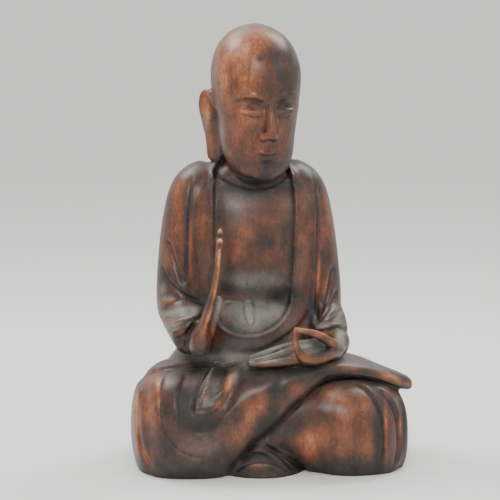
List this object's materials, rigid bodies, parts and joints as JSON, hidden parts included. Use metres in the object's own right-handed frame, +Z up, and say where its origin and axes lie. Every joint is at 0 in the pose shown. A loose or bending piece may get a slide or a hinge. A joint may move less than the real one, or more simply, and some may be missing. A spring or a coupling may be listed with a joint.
{
  "type": "seated monk figure",
  "caption": "Carved wooden figure of a bald monk seated with crossed legs, right hand upright before the chest and left hand in the lap with thumb and forefinger closed in a ring.",
  "frame": {"origin": "on the flat underside, below the middle of the seated body", "axes": "+Z up, the figure faces -Y, its own left is +X"},
  "size_m": [0.3604, 0.2438, 0.559],
  "materials": {
    "stained_wood": "dark brown stain, hand rubbed, worn to a reddish brown on the high places"
  },
  "bodies": {
    "root": {"seated_monk": "stained_wood"}
  },
  "joints": []
}
